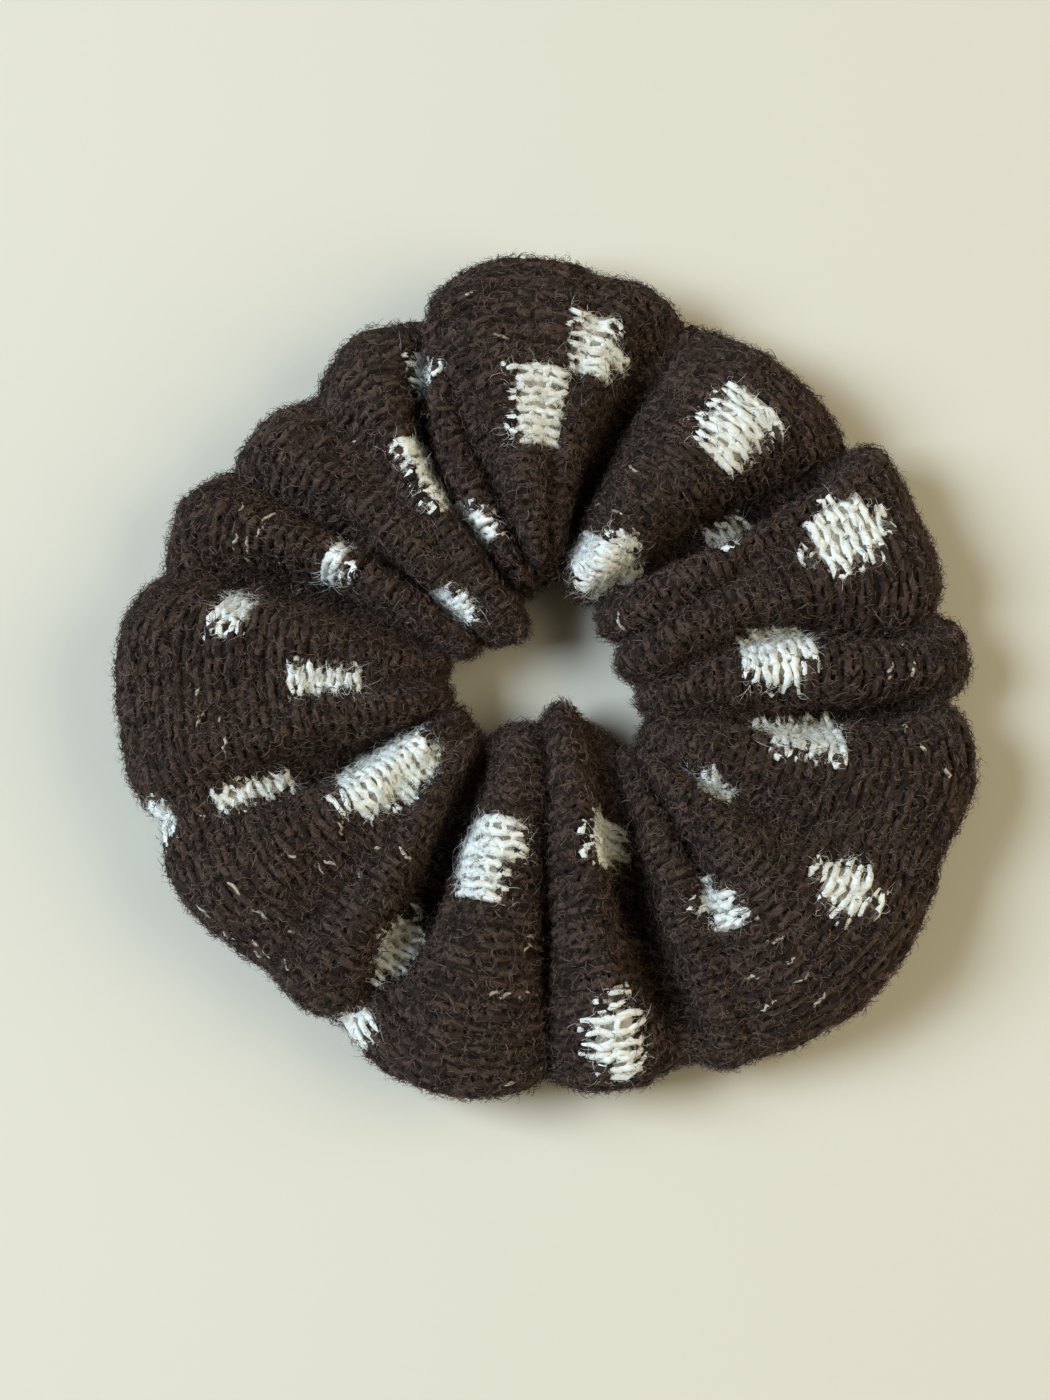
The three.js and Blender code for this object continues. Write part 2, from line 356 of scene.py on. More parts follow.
def gather(k, section):
    """Rows of points, in millimetres, over one gather from its fold on the clockwise side to the next one."""
    angles_a, depths_a, sharp_a, (_, gap_a) = FOLDS[k]
    angles_b, depths_b, sharp_b, (gap_b, _) = FOLDS[k + 1]
    alpha = np.linspace(0, math.pi, LOBE_SAMPLES)[None, :]
    across = (1 - np.cos(alpha)) / 2
    to_crease = np.cos(alpha) ** 2
    own = LOBES[k]
    beside = [LOBES[k - 1], LOBES[(k + 1) % len(LOBES)]]

    def blended(item):
        before, after = [(own[item] + other[item]) / 2 for other in beside]
        return mixed(own[item], np.where(across < 0.5, before, after), to_crease)

    rim, hole, top = blended(0), blended(1), blended(2)
    cosine = np.cos(section)[:, None]
    sine = np.sin(section)[:, None]
    reach = signed_power(cosine, 2 / TUBE_POWER)
    out = (1 + reach) / 2
    radius = (rim + hole) / 2 + (rim - hole) / 2 * reach
    height = section_height(sine, top)
    lean = math.tan(VIEW_TILT) * np.maximum(height - WIDEST_AT, 0)
    depth_a = np.maximum(through_stations(depths_a, out), 0)
    depth_b = np.maximum(through_stations(depths_b, out), 0)
    start = np.radians(through_stations(angles_a, out))
    stop = np.radians(through_stations(angles_b, out))
    floor = np.where(across < 0.5, gap_a, gap_b) * (4 * out * (1 - out)) ** GAP_POWER
    floor_share = floor * 2 / ((stop - start) * radius)
    from_crest = np.minimum(np.abs(np.cos(alpha)) / (1 - np.minimum(floor_share, MOST_FLOOR)), 1)
    round_bump = (1 - from_crest**CREST_POWER) ** (1 / CREST_POWER)
    soft_bump = (1 + np.cos(math.pi * from_crest)) / 2
    rise = mixed(soft_bump, round_bump, mixed(sharp_a, sharp_b, across))
    pressed = 1 - (1 - BELOW) * np.maximum(-sine, 0)
    sink = mixed(depth_a, depth_b, across) * (1 - rise) * pressed
    outward = unit(np.stack([cosine / NOMINAL_HALF[0], sine / NOMINAL_HALF[1]], -1))
    radius = radius - sink * outward[..., 0]
    height = np.maximum(height - sink * outward[..., 1], UNDERSIDE)
    bulge = OVERHANG * sink * 4 * rise * np.where(across < 0.5, -1, 1)
    angle = mixed(start, stop, across) + (own[3] * rise**2 + bulge) / radius * np.maximum(sine, 0)
    return np.stack([radius * np.cos(angle), radius * np.sin(angle) - lean, height], -1)


def respaced(rows, count):
    """Each row of points, walked again in count even steps, without its last point."""
    steps = np.linalg.norm(np.diff(rows, axis=1), axis=2)
    out = np.empty((len(rows), count, 3))
    for i, (row, step) in enumerate(zip(rows, steps)):
        length = np.concatenate([[0], np.cumsum(step)])
        wanted = np.arange(count) / count * length[-1]
        for axis in range(3):
            out[i, :, axis] = np.interp(wanted, length, row[:, axis])
    return out


def slope(points, axis):
    return np.roll(points, -1, axis) - np.roll(points, 1, axis)


def grid_normals(points):
    return unit(np.cross(slope(points, 1), slope(points, 0)))


def smoothed(points, passes):
    for _ in range(passes):
        for axis in (0, 1):
            points = (np.roll(points, 1, axis) + 2 * points + np.roll(points, -1, axis)) / 4
    return points


def unevenness(points):
    """Swells and small buckles of hand-gathered cloth, mostly between -1 and 1."""
    total = 0
    for wavelength, direction in SWELL_WAVES:
        along = points @ np.array(direction) / np.linalg.norm(direction)
        total = total + np.sin(TURN * along / wavelength + wavelength)
    return total / SWELL_SUM


def cloth_grid():
    """The whole cover: rows go round the tube's section, and columns round the ring."""
    section = section_angles()
    pieces = []
    for k in range(len(LOBES)):
        rows = gather(k, section)
        mean_length = np.linalg.norm(np.diff(rows, axis=1), axis=2).sum(1).mean()
        pieces.append(respaced(rows, COURSE_SAMPLES * round(mean_length / COURSE)))
    points = smoothed(np.concatenate(pieces, 1), SHEET_SMOOTHING)
    points = points + SWELLS * unevenness(points)[..., None] * grid_normals(points)
    points[..., 2] = np.maximum(points[..., 2], UNDERSIDE)
    return points


def on_grid(values, wale, course):
    """Values of the grid at any wale and course, both counted round and round."""
    row = wale * SECTION_SAMPLES / WALES
    column = course * COURSE_SAMPLES
    i = np.floor(row).astype(int)
    j = np.floor(column).astype(int)
    down = (row - i)[..., None]
    along = (column - j)[..., None]
    rows, columns = values.shape[:2]
    i0, i1 = i % rows, (i + 1) % rows
    j0, j1 = j % columns, (j + 1) % columns
    near = mixed(values[i0, j0], values[i1, j0], down)
    far = mixed(values[i0, j1], values[i1, j1], down)
    return mixed(near, far, along)


def cloth_at(wale, course, lift=0.0):
    """Points at a lift over the cloth, and which way is out there."""
    normals = unit(on_grid(GRID_NORMALS, wale, course))
    return on_grid(GRID, wale, course) + normals * np.asarray(lift)[..., None], normals


def make_piece(name, points, faces, materials, shades=None):
    """A mesh object from points in millimetres, kept clear of the table, and arrays of faces.

    shades gives each face its material.
    """
    points[:, 2] = np.maximum(points[:, 2], TABLE_GAP)
    mesh = bpy.data.meshes.new(name)
    sizes = np.concatenate([np.full(len(group), group.shape[1]) for group in faces])
    corners = np.concatenate([group.ravel() for group in faces])
    mesh.vertices.add(len(points))
    mesh.vertices.foreach_set("co", (points * MM).ravel())
    mesh.loops.add(len(corners))
    mesh.loops.foreach_set("vertex_index", corners)
    mesh.polygons.add(len(sizes))
    mesh.polygons.foreach_set("loop_start", np.cumsum(sizes) - sizes)
    mesh.polygons.foreach_set("use_smooth", np.ones(len(sizes), bool))
    for surface in materials:
        mesh.materials.append(surface)
    if shades is not None:
        mesh.polygons.foreach_set("material_index", shades)
    mesh.update(calc_edges=True)
    piece = bpy.data.objects.new(name, mesh)
    bpy.context.scene.collection.objects.link(piece)
    return piece


def swept(paths, outward, radius, sides):
    """Points and faces of closed tubes with flat ends, along many paths of the same number of points."""
    tangent = unit(np.gradient(paths, axis=1))
    side = unit(np.cross(tangent, outward))
    up = np.cross(side, tangent)
    turn = (np.arange(sides) + 0.5) / sides * TURN
    ring = np.cos(turn)[:, None] * side[..., None, :] + np.sin(turn)[:, None] * up[..., None, :]
    points = paths[..., None, :] + ring * np.asarray(radius)[..., None, None]
    count, length = paths.shape[:2]
    first = (np.arange(count) * length * sides)[:, None, None]
    step = (np.arange(length - 1) * sides)[None, :, None]
    here = np.arange(sides)[None, None, :]
    ahead = (here + 1) % sides
    base = first + step
    walls = np.stack([base + here, base + here + sides, base + ahead + sides, base + ahead], -1)
    start = first[:, 0] + np.arange(sides)[None, :]
    stop = start + (length - 1) * sides
    return points.reshape(-1, 3), [walls.reshape(-1, 4), np.concatenate([start, stop[:, ::-1]])]


def stitch_path(wale, course, t):
    """Points of a stitch's yarn, and which way is out. t goes from 0 at one side to 1 at the other."""
    across = wale + 0.5 + LOOP_WIDTH * (t - 0.5 + LOOP_NARROWING * np.sin(2 * TURN * t))
    along = course + 0.5 - GROWTH * LOOP_REACH * np.cos(TURN * t)
    lift = YARN_LIFT - LOOP_RELIEF * np.cos(2 * TURN * t) - FURROW * np.cos(TURN * (across - wale)) / 2
    row = TURN * across
    column = TURN * along / COURSES
    uneven = sum(np.sin(up * row + round_it * column + start) for up, round_it, start in YARN_WAVES)
    up, round_it, shift = SIDE_WAVE
    across = across + WOBBLE / WALE * np.sin(up * row + round_it * column + shift * uneven)
    return cloth_at(across, along, lift + WOBBLE / 2 * uneven)


def shades_of(hollow, count):
    """Which of a list of materials things get, by chance: the first, darkest one is painted shade for the
    folds.
    """
    shade = RANDOM.integers(1, count, len(hollow))
    return np.where(RANDOM.random(len(hollow)) < hollow, 0, shade)


def stitches(name, wale, course, radius, samples, sides, materials):
    """One piece of knitted yarn: a closed length of it for each stitch, in one of the materials by chance."""
    paths, outward = stitch_path(wale[:, None], course[:, None], np.linspace(0, 1, samples + 1)[None, :])
    thick = radius * RANDOM.uniform(*YARN_UNEVENNESS, paths.shape[:2])
    points, (walls, ends) = swept(paths, outward, thick, sides)
    # The deeper a stitch lies in a fold, the likelier its yarn gets the darkest material: painted shade.
    hollow = HOLLOW[wale.astype(int), course.astype(int)]
    hollow = np.concatenate([np.repeat(hollow, samples * sides), np.repeat(hollow, 2)])
    shades = shades_of(hollow, len(materials))
    return make_piece(name, points, [walls, ends], materials, shades)


def seen_places(points):
    """Angles and distances from the middle, as points look from the side that the dots are placed in."""
    y = points[..., 1] + (points[..., 2] - WIDEST_AT) * math.tan(VIEW_TILT)
    return np.degrees(np.arctan2(y, points[..., 0])), np.hypot(points[..., 0], y)


def hollowness():
    """How deep in a fold each stitch lies, from 0 to 1, which also sets how likely it is to get painted
    shade.
    """
    depth = np.sum((smoothed(GRID, FOLD_SMOOTHING) - GRID) * GRID_NORMALS, -1)
    depth = on_grid(depth[..., None], ALL_WALES + 0.5, ALL_COURSES + 0.5)[..., 0]
    return np.clip((depth - SHALLOW) / (DEEP - SHALLOW), 0, 1)


def stitch_near(angle, distance):
    """The wale and course of the upper stitch that shows at a place."""
    turn = np.radians(STITCH_ANGLES - angle)
    away = STITCH_DISTANCES**2 + distance**2 - 2 * STITCH_DISTANCES * distance * np.cos(turn)
    facing = STITCH_NORMALS[..., 2]
    away = np.where(facing > LEAST_FLECK_FACING, away + STEEPNESS_COST * (1 - facing) ** 2, np.inf)
    return np.unravel_index(np.argmin(away), away.shape)


def wrapped(difference, period):
    return (difference + period / 2) % period - period / 2


def dot_stitches():
    """Which stitches are cream: the dots that show, and a staggered lattice of dots underneath."""
    cream = np.zeros((WALES, COURSES), bool)
    for angle, distance, width, height in DOTS:
        turn = np.radians(STITCH_ANGLES - angle)
        along = 2 * STITCH_DISTANCES * np.sin(turn) / max(width, LEAST_DOT)
        across = 2 * (STITCH_DISTANCES * np.cos(turn) - distance) / max(height, LEAST_DOT)
        shown = (STITCH_NORMALS[..., 2] > LEAST_FACING) & (HOLLOW < DEEPEST_DOT)
        cream |= (across**2 + along**2 <= 1) & shown
    for row, wale in enumerate(LATTICE_WALES):
        for place in range(LATTICE):
            course = (place + row % 2 / 2) * COURSES / LATTICE
            across = wrapped(ALL_WALES - wale, WALES) / LATTICE_DOT[0]
            along = wrapped(ALL_COURSES - course, COURSES) / LATTICE_DOT[1]
            cream |= across**2 + along**2 <= 1
    return cream


def spikes(paths, radius):
    """Points and faces of closed three-sided fibres along many short paths, each ending in a point."""
    tangent = unit(np.gradient(paths, axis=1))
    side = unit(np.cross(tangent, np.array(FIBRE_SIDE)))
    up = np.cross(side, tangent)
    turn = np.arange(3) / 3 * TURN
    ring = np.cos(turn)[:, None] * side[..., None, :] + np.sin(turn)[:, None] * up[..., None, :]
    taper = np.linspace(1, FIBRE_TIP, paths.shape[1])[None, :, None, None]
    points = paths[..., None, :] + ring * taper * radius[:, None, None, None]
    points = points[:, :-1].reshape(len(paths), -1, 3)
    points = np.concatenate([points, paths[:, -1:]], 1)
    size = points.shape[1]
    first = (np.arange(len(paths)) * size)[:, None, None]
    step = (np.arange(paths.shape[1] - 2) * 3)[None, :, None]
    here = np.arange(3)[None, None, :]
    ahead = (here + 1) % 3
    base = first + step
    walls = np.stack([base + here, base + ahead, base + ahead + 3, base + here + 3], -1)
    last = first[:, 0] + size - 4
    tip = np.broadcast_to(first[:, 0] + size - 1, (len(paths), 3))
    tips = np.stack([last + here[0], last + ahead[0], tip], -1).reshape(-1, 3)
    root = first[:, 0] + np.array([[2, 1, 0]])
    return points.reshape(-1, 3), [walls.reshape(-1, 4), tips, root]


def fibres(name, wale, course, look, materials):
    """One piece of loose fibres, each rooted somewhere on the yarn of its stitch and curling away from it."""
    _, length, radius, least_rise, most_rise, curl_spread = look
    count = len(wale)
    root, normal = stitch_path(wale, course, RANDOM.random(count))
    root = root + normal * YARN_RADIUS * RANDOM.uniform(*FIBRE_ROOT, (count, 1))
    along = unit(np.cross(normal, RANDOM.normal(size=normal.shape)))[:, None, :]
    across = np.cross(normal[:, None, :], along)
    span = length * RANDOM.uniform(*FIBRE_LENGTHS, count)[:, None, None]
    rise = RANDOM.uniform(least_rise, most_rise, count)[:, None, None]
    curl = RANDOM.normal(0, curl_spread, count)[:, None, None]
    t = np.linspace(0, 1, FIBRE_STEPS + 1)[None, :, None]
    arch = rise * (FIBRE_ARCH[0] - FIBRE_ARCH[1] * t)
    step = np.cos(curl * t) * along + np.sin(curl * t) * across + arch * normal[:, None, :]
    step = unit(step) * span / FIBRE_STEPS
    walked = np.concatenate([np.zeros_like(step[:, :1]), np.cumsum(step[:, :-1], 1)], 1)
    paths = root[:, None, :] + walked
    paths[..., 2] = np.maximum(paths[..., 2], TABLE_GAP + radius)
    points, faces = spikes(paths, radius * RANDOM.uniform(*FIBRE_THICKNESSES, count))
    # Fibres deep in a fold are likelier to get the darkest material: painted shade.
    shade = shades_of(HOLLOW[wale, course], len(materials))
    shades = np.concatenate([np.repeat(shade, len(group) // count) for group in faces])
    return make_piece(name, points, faces, materials, shades)


def brown_fibres(name, look, group, groups, materials):
    """Loose fibres on one stretch of the ring: fewer underneath, and hardly any on the cream dots."""
    count = look[0] // groups
    wale = RANDOM.integers(0, WALES, count)
    course = RANDOM.integers(group * COURSES // groups, (group + 1) * COURSES // groups, count)
    kept = (STITCH_NORMALS[wale, course, 2] > UNDERSIDE_FACING) | (RANDOM.random(count) < UNDERSIDE_SHARE)
    kept &= ~CREAM[wale, course] | (RANDOM.random(count) < STRAY_SHARE)
    return fibres(name, wale[kept], course[kept], look, materials)


def cream_fibres(name, look, group, groups, materials):
    """Loose fibres on the dots of one stretch of the ring, the same number on each stitch."""
    wale, course = np.nonzero(CREAM & (ALL_COURSES * groups // COURSES == group))
    return fibres(name, np.repeat(wale, look[0]), np.repeat(course, look[0]), look, materials)


def ground_cloth(materials):
    """The cloth behind the yarn, with its thickness, as one closed tube round the ring, in darkened yarn
    colours.
    """
    wale, course = np.meshgrid(np.arange(0, WALES, 0.5), np.arange(0, COURSES, 1), indexing="ij")
    skins = []
    for depth in (GROUND_LIFT, GROUND_LIFT - GROUND_THICKNESS):
        points, _ = cloth_at(wale, course, np.full(wale.shape, depth))
        skins.append(points)
    rows, columns = wale.shape
    i, j = np.meshgrid(np.arange(rows), np.arange(columns), indexing="ij")
    here = i * columns + j
    beside = (i + 1) % rows * columns + j
    ahead = i * columns + (j + 1) % columns
    opposite = (i + 1) % rows * columns + (j + 1) % columns
    outer = np.stack([here, ahead, opposite, beside], -1).reshape(-1, 4)
    inner = outer[:, ::-1] + rows * columns
    # Brown under brown stitches and grey under cream ones, both darker than their yarn: painted shade of the
    # gaps.
    shades = CREAM[wale.astype(int), course].ravel().astype(int)
    shades = np.concatenate([shades, shades])
    points = np.stack(skins).reshape(-1, 3)
    return make_piece("cover_cloth", points, [outer, inner], materials, shades)


def flecks(surface):
    """Cream yarn that shows as part of one leg of a brown stitch here and there."""
    places = np.array([stitch_near(angle, distance) for angle, distance in FLECKS])
    places = np.concatenate([places, places + FLECK_STEP])
    places = places[RANDOM.random(len(places)) < FLECK_SHARE]
    leg = RANDOM.choice(FLECK_LEGS, len(places))[:, None]
    reach = RANDOM.uniform(*FLECK_REACH, len(places))[:, None] * np.linspace(-1, 1, FLECK_POINTS)
    paths, outward = stitch_path(places[:, :1], places[:, 1:], leg + reach)
    paths = paths + outward * FLECK_LIFT
    plumpness = np.sin(np.linspace(FLECK_TAPER, math.pi - FLECK_TAPER, FLECK_POINTS))
    thick = YARN_RADIUS / 2 * plumpness * np.ones((len(paths), 1))
    points, faces = swept(paths, outward, thick, FLECK_SIDES)
    return make_piece("float_flecks", points, faces, [surface])


def seam_thread(name, wale, course, lift, surface):
    """A sewing thread along a line of the cloth."""
    paths, outward = cloth_at(wale[None, :], course[None, :], lift[None, :])
    points, faces = swept(paths, outward, np.full(paths.shape[:2], THREAD_RADIUS), THREAD_SIDES)
    return make_piece(name, points, faces, [surface])


def long_seam(surface):
    """Overcast stitches across the tube's own seam, underneath, all round the ring."""
    course = np.linspace(LONG_MARGIN, COURSES - LONG_MARGIN, COURSES * LONG_SAMPLES)
    swing = TURN * course / LONG_STITCH
    lift = LONG_LIFT[0] + LONG_LIFT[1] * np.cos(2 * swing)
    return seam_thread("long_seam_thread", LONG_SWING * np.sin(swing), course, lift, surface)


def closing_seam(surface):
    """Small stitches over the closing seam, down in its crease, round the tube."""
    wale = np.linspace(CLOSING_MARGIN, WALES - CLOSING_MARGIN, WALES * CLOSING_SAMPLES)
    swing = TURN * wale
    lift = CLOSING_LIFT[0] + CLOSING_LIFT[1] * np.cos(2 * swing)
    course = CLOSING_SWING * np.sin(swing)
    return seam_thread("closing_seam_thread_stitched", wale, course, lift, surface)


def ceiling_over(angles):
    """Height of the lowest cloth over the elastic's line at angles round the ring."""
    distance = np.hypot(GRID[..., 0], GRID[..., 1])
    upper = (GRID_NORMALS[..., 2] > 0) & (np.abs(distance - ELASTIC_R) < ELASTIC_WIDTH)
    height = GRID[..., 2][upper]
    place = np.arctan2(GRID[..., 1], GRID[..., 0])[upper]
    near = math.cos(FOLD_REACH)
    lowest = np.array([height[np.cos(place - angle) > near].min() for angle in angles])
    window = np.hanning(2 * FOLD_REACH * len(angles) / TURN)
    margin = len(window) // 2
    level = np.convolve(np.pad(lowest, margin, "wrap"), window / window.sum(), "same")
    return level[margin:][: len(angles)]


def elastic_line(turned):
    """The elastic's middle, and the ways across and out of its flat side, at angles from its first end."""
    angle = FRONT - ELASTIC_OVERLAP / ELASTIC_R / 2 + turned
    rising = np.clip((turned - TURN + END_RISE) / END_RISE, 0, 1)
    radius = ELASTIC_R + LAYER_STEP * rising**2 * (3 - 2 * rising)
    around = np.linspace(0, TURN, CEILING_SAMPLES, endpoint=False)
    room = np.interp(angle % TURN, around, ceiling_over(around), period=TURN) - ELASTIC_CLEARANCE
    upright = np.clip((room - ELASTIC_FLOOR) / ELASTIC_WIDTH, FLATTEST, 1)
    low = np.clip(room - ELASTIC_WIDTH * upright, ELASTIC_FLOOR, ELASTIC_LOW)
    outward = np.stack([np.cos(angle), np.sin(angle), np.zeros_like(angle)], -1)
    up = np.array([0, 0, 1.0])
    tilt = upright[:, None]
    middle = outward * radius[:, None] + up * (low + ELASTIC_WIDTH / 2 * upright)[:, None]
    across = outward * np.sqrt(1 - tilt**2) + up * tilt
    flat = outward * tilt - up * np.sqrt(1 - tilt**2)
    return middle, across, flat


def elastic_band(surface):
    """A braided elastic with ribs along it, which lies down where a fold of the cover presses on it."""
    turned = np.linspace(0, TURN + ELASTIC_OVERLAP / ELASTIC_R, ELASTIC_STEPS)
    middle, across, flat = elastic_line(turned)
    place = np.linspace(-1, 1, RIB_SAMPLES * ELASTIC_RIBS + 1)
    groove = RIB_DEPTH * (1 - np.cos(TURN * ELASTIC_RIBS / 2 * (place + 1))) / 2
    edge = (1 - place**ELASTIC_EDGE_POWER) * (ELASTIC_THICK / 2 - groove)
    x = np.concatenate([place, place[-2:0:-1]]) * ELASTIC_WIDTH / 2
    y = np.concatenate([edge, -edge[-2:0:-1]])
    points = middle[:, None] + across[:, None] * x[None, :, None] + flat[:, None] * y[None, :, None]
    length, size = points.shape[:2]
    base = (np.arange(length - 1) * size)[:, None]
    here = np.arange(size)[None, :]
    ahead = (here + 1) % size
    walls = np.stack([base + here, base + here + size, base + ahead + size, base + ahead], -1)
    start = np.arange(size)[None, :]
    ends = np.concatenate([start, (start + (length - 1) * size)[:, ::-1]])
    return make_piece("elastic_braid", points.reshape(-1, 3), [walls.reshape(-1, 4), ends], [surface])


def elastic_whipping(surface):
    """Thread wound round the elastic's two overlapping ends."""
    t = np.linspace(0, 1, WHIPPING_TURNS * WHIPPING_SAMPLES)
    round_it = TURN * WHIPPING_TURNS * t
    middle = ELASTIC_R + LAYER_STEP / 2
    angle = FRONT + (t - 0.5) * WHIPPING_LENGTH / middle
    half_thick = ELASTIC_THICK + LAYER_STEP / 2 - THREAD_RADIUS / 2
    half_wide = ELASTIC_WIDTH / 2 + WHIPPING_MARGIN
    radius = middle + half_thick * signed_power(np.cos(round_it), WHIPPING_BOXINESS)
    swing = signed_power(np.sin(round_it), WHIPPING_BOXINESS)
    height = ELASTIC_LOW + ELASTIC_WIDTH / 2 + half_wide * swing
    paths = np.stack([radius * np.cos(angle), radius * np.sin(angle), height], -1)[None]
    outward = np.stack([np.cos(angle), np.sin(angle), np.zeros_like(angle)], -1)[None]
    points, faces = swept(paths, outward, np.full(paths.shape[:2], THREAD_RADIUS), THREAD_SIDES)
    return make_piece("elastic_whipping", points, faces, [surface])


def linear(red, green, blue):
    """A colour given as a screen shows it, from 0 to 255, in the renderer's own terms."""
    shares = [part / 255 for part in (red, green, blue)]
    return tuple(c / 12.92 if c <= 0.04045 else ((c + 0.055) / 1.055) ** 2.4 for c in shares)


def material(name, colour, roughness, grain, bump, sheen=0.0):
    """A matt surface with a fine grain: noise of a given size in metres in its bump and its roughness."""
    made = bpy.data.materials.new(name)
    made.use_nodes = True
    nodes, links = made.node_tree.nodes, made.node_tree.links
    shader = nodes["Principled BSDF"]
    shader.inputs["Base Color"].default_value = (*linear(*colour), 1)
    shader.inputs["Specular IOR Level"].default_value = SPECULAR
    shader.inputs["Sheen Weight"].default_value = sheen
    shader.inputs["Sheen Roughness"].default_value = SHEEN_ROUGHNESS
    shader.inputs["Sheen Tint"].default_value = (*linear(*colour), 1)
    place = nodes.new("ShaderNodeTexCoord")
    noise = nodes.new("ShaderNodeTexNoise")
    noise.inputs["Scale"].default_value = 1 / grain
    noise.inputs["Detail"].default_value = GRAIN_DETAIL
    links.new(place.outputs["Object"], noise.inputs["Vector"])
    spread = nodes.new("ShaderNodeMapRange")
    spread.inputs["To Min"].default_value = roughness - ROUGHNESS_SPREAD
    spread.inputs["To Max"].default_value = roughness + ROUGHNESS_SPREAD
    links.new(noise.outputs["Fac"], spread.inputs["Value"])
    links.new(spread.outputs["Result"], shader.inputs["Roughness"])
    relief = nodes.new("ShaderNodeBump")
    relief.inputs["Distance"].default_value = bump
    links.new(noise.outputs["Fac"], relief.inputs["Height"])
    links.new(relief.outputs["Normal"], shader.inputs["Normal"])
    return made


def mottled(made, first, second, size):
    """Gives a material a colour that wanders between two, in patches of a size in metres."""
    nodes, links = made.node_tree.nodes, made.node_tree.links
    place = nodes.new("ShaderNodeTexCoord")
    noise = nodes.new("ShaderNodeTexNoise")
    noise.inputs["Scale"].default_value = 1 / size
    noise.inputs["Detail"].default_value = MOTTLING_DETAIL
    ramp = nodes.new("ShaderNodeValToRGB")
    ramp.color_ramp.elements[0].position = MOTTLING[0]
    ramp.color_ramp.elements[0].color = (*linear(*first), 1)
    ramp.color_ramp.elements[1].position = MOTTLING[1]
    ramp.color_ramp.elements[1].color = (*linear(*second), 1)
    links.new(place.outputs["Object"], noise.inputs["Vector"])
    links.new(noise.outputs["Fac"], ramp.inputs["Fac"])
    links.new(ramp.outputs["Color"], nodes["Principled BSDF"].inputs["Base Color"])


def area_light(name, place, size, watts, colour):
    """A square light that faces the middle of the table."""
    lamp = bpy.data.lights.new(name, "AREA")
    lamp.size = size
    lamp.energy = watts
    lamp.color = colour
    light = bpy.data.objects.new(name, lamp)
    bpy.context.scene.collection.objects.link(light)
    light.location = place
    light.rotation_euler = (-Vector(place)).to_track_quat("-Z", "Y").to_euler()


# The cloth's grid, and the middle of every stitch on it.
GRID = cloth_grid()
GRID_NORMALS = grid_normals(GRID)
COURSES = GRID.shape[1] // COURSE_SAMPLES
ALL_WALES, ALL_COURSES = np.meshgrid(np.arange(WALES), np.arange(COURSES), indexing="ij")
STITCH_MIDDLES, STITCH_NORMALS = cloth_at(ALL_WALES + 0.5, ALL_COURSES + 0.5)
STITCH_ANGLES, STITCH_DISTANCES = seen_places(STITCH_MIDDLES)
# How deep each stitch lies in a fold: it keeps dots out of the folds and sets their painted shade.
HOLLOW = hollowness()
CREAM = dot_stitches()

# The materials. The first, darkest one of each list is painted shade for the folds.
brown_yarn = [
    material("knit_brown_painted_shade", (20, 15, 13), *BROWN_FINISH),
    material("knit_brown_dark", (37, 29, 26), *BROWN_FINISH, BROWN_SHEEN),
    material("knit_brown", (57, 46, 41), *BROWN_FINISH, BROWN_SHEEN),
    material("knit_brown_light", (81, 66, 60), *BROWN_FINISH, BROWN_SHEEN),
]
brown_fibre = [
    material("fibre_brown_painted_shade", (24, 18, 16), *FIBRE_FINISH),
    material("fibre_brown_dark", (43, 35, 32), *FIBRE_FINISH, BROWN_SHEEN),
    material("fibre_brown", (73, 60, 55), *FIBRE_FINISH, BROWN_SHEEN),
    material("fibre_brown_light", (120, 103, 97), *FIBRE_FINISH, BROWN_SHEEN),
]
cream_yarn = [
    material("knit_cream_painted_shade", (190, 186, 166), *CREAM_FINISH, CREAM_SHEEN),
    material("knit_cream", (243, 252, 255), *CREAM_FINISH, CREAM_SHEEN),
    material("knit_cream_warm", (238, 242, 240), *CREAM_FINISH, CREAM_SHEEN),
]
cream_fibre = [
    material("fibre_cream_painted_shade", (170, 164, 144), *FIBRE_FINISH, CREAM_SHEEN),
    material("fibre_cream", (236, 246, 248), *FIBRE_FINISH, CREAM_SHEEN),
    material("fibre_cream_warm", (218, 222, 218), *FIBRE_FINISH, CREAM_SHEEN),
]
dim_fibre = material("fibre_cream_dim", (190, 184, 172), *FIBRE_FINISH)
# The backing: the yarn's own brown and cream, darkened and greyed as painted shade of the gaps between
# stitches.
brown_backing_shaded = material("knit_backing_brown_shaded", (36, 28, 25), *GROUND_FINISH)
cream_backing_shaded = material("knit_backing_cream_shaded", (140, 138, 130), *GROUND_FINISH)
mottled(brown_backing_shaded, (28, 21, 19), (46, 36, 32), 0.004)
mottled(cream_backing_shaded, (112, 108, 100), (166, 164, 156), 0.003)
thread = material("sewing_thread", (44, 34, 31), 0.75, 0.0003, 0.00005, 0.1)
rubber = material("elastic_braid", (30, 25, 24), 0.8, 0.0004, 0.0001, 0.1)

# The knit, its fibres, the seams and the elastic.
cover = ground_cloth([brown_backing_shaded, cream_backing_shaded])
yarn = []
for i in range(YARN_PIECES):
    wale, course = np.nonzero((ALL_COURSES * YARN_PIECES // COURSES == i) & ~CREAM)
    yarn.append(stitches(f"knit_yarn_brown_{i + 1}", wale, course, *BROWN_YARN, brown_yarn))
wale, course = np.nonzero(CREAM)
yarn.append(stitches("knit_yarn_cream", wale, course, *CREAM_YARN, cream_yarn))

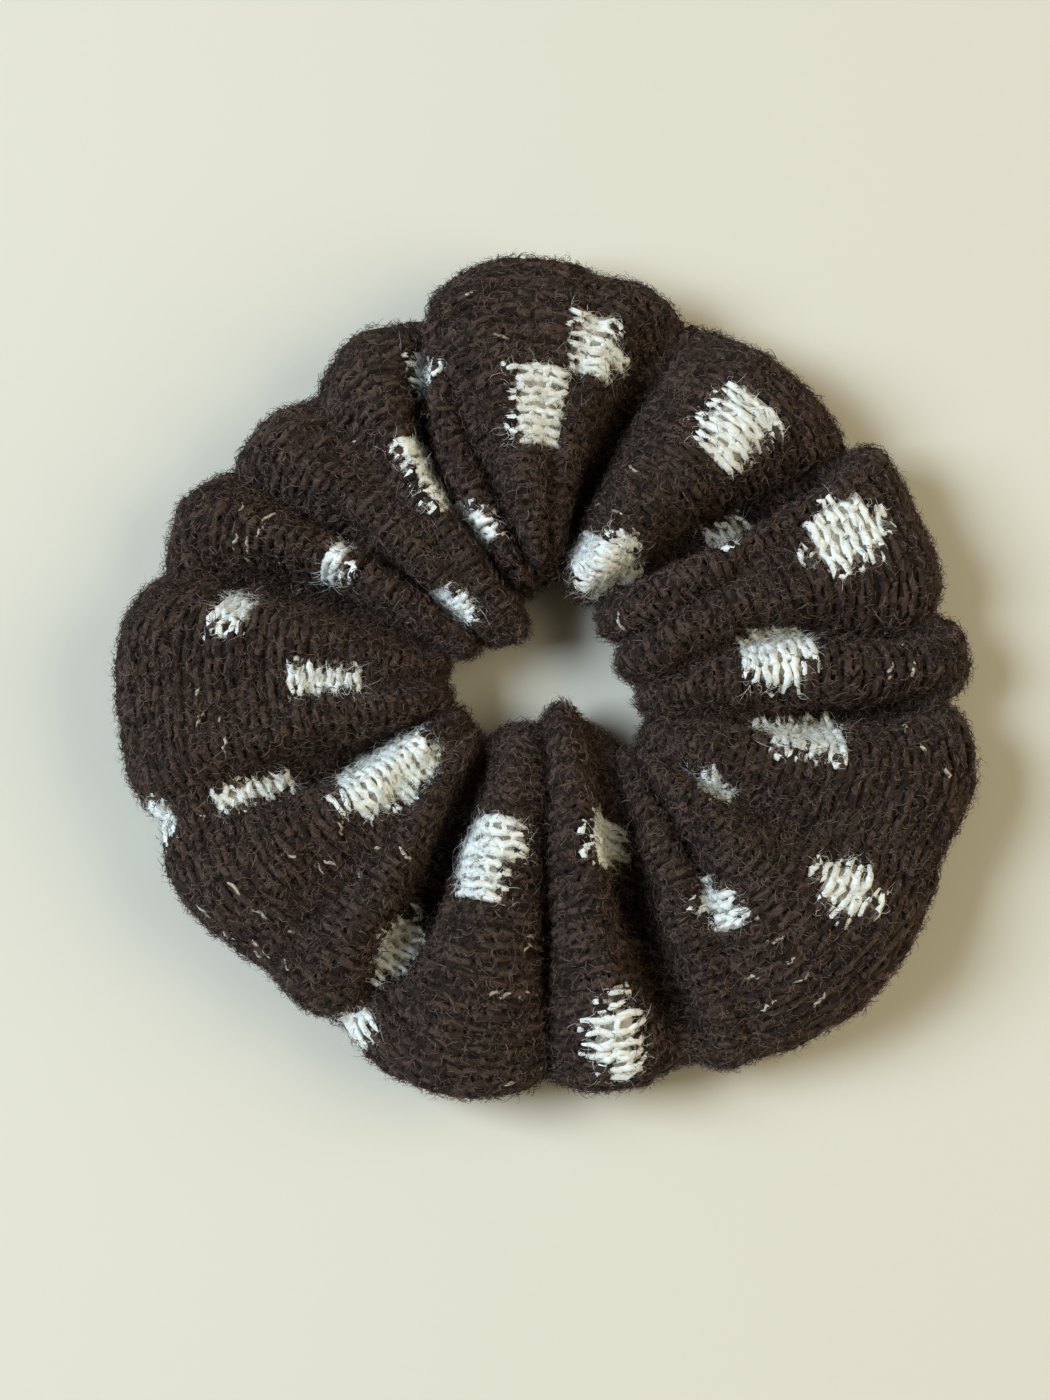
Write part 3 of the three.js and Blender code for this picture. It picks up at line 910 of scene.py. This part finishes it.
loose = []
for i in range(NAP_PIECES):
    loose.append(brown_fibres(f"fibre_nap_brown_{i + 1}", NAP, i, NAP_PIECES, brown_fibre))
for i in range(HALO_PIECES):
    loose.append(brown_fibres(f"fibre_halo_brown_{i + 1}", HALO, i, HALO_PIECES, brown_fibre))
for i in range(CREAM_NAP_PIECES):
    loose.append(cream_fibres(f"fibre_nap_cream_{i + 1}", CREAM_NAP, i, CREAM_NAP_PIECES, cream_fibre))
loose.append(cream_fibres("fibre_halo_cream", CREAM_HALO, 0, 1, cream_fibre))
fleck = flecks(dim_fibre)

seam_along = long_seam(thread)
seam_round = closing_seam(thread)
braid = elastic_band(rubber)
whipping = elastic_whipping(thread)

# The camera, the floor and the light.
view = bpy.data.cameras.new("camera")
view.sensor_fit = "AUTO"
view.lens = CAMERA_LENS
camera = bpy.data.objects.new("camera", view)
bpy.context.scene.collection.objects.link(camera)
bpy.context.scene.camera = camera
ring_middle = (cad_box[0] + cad_box[1]) / 2
target = Vector((ring_middle.x + TARGET_SHIFT[0], ring_middle.y + TARGET_SHIFT[1], TARGET_HEIGHT))
offset = Vector((0, -math.cos(CAMERA_ELEVATION), math.sin(CAMERA_ELEVATION))) * CAMERA_DISTANCE
camera.location = target + offset
camera.rotation_euler = (-offset).to_track_quat("-Z", "Y").to_euler()

bpy.ops.mesh.primitive_plane_add(size=FLOOR_SIZE)
floor = bpy.context.object
floor.name = "floor"
floor.data.materials.append(material("pale_floor", (218, 218, 209), 0.8, 0.002, 0.00002))

for light in LIGHTS:
    area_light(*light)
world = bpy.data.worlds.new("room")
bpy.context.scene.world = world
world.use_nodes = True
world.node_tree.nodes["Background"].inputs["Color"].default_value = (*ROOM_COLOUR, 1)
world.node_tree.nodes["Background"].inputs["Strength"].default_value = ROOM_STRENGTH
bpy.context.scene.view_settings.view_transform = "Standard"

# Each piece's placement is baked into its mesh, and the frame's parts that the pieces stand in for are
# hidden.
cloth_parts = yarn + loose + [fleck]
for piece in [cover] + cloth_parts:
    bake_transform(piece)
long_seam_nodes = ["long_seam_thread_front_right", "long_seam_thread_back", "long_seam_thread_front_left"]
for piece, slot, nodes in (
    (seam_along, "sewing_thread", long_seam_nodes),
    (seam_round, "sewing_thread", ["closing_seam_thread"]),
    (braid, "elastic", ["elastic_band"]),
    (whipping, "sewing_thread", ["elastic_join_thread"]),
):
    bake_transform(piece)
    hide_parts(*nodes)
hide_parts("cover_front_right", "cover_back", "cover_front_left")
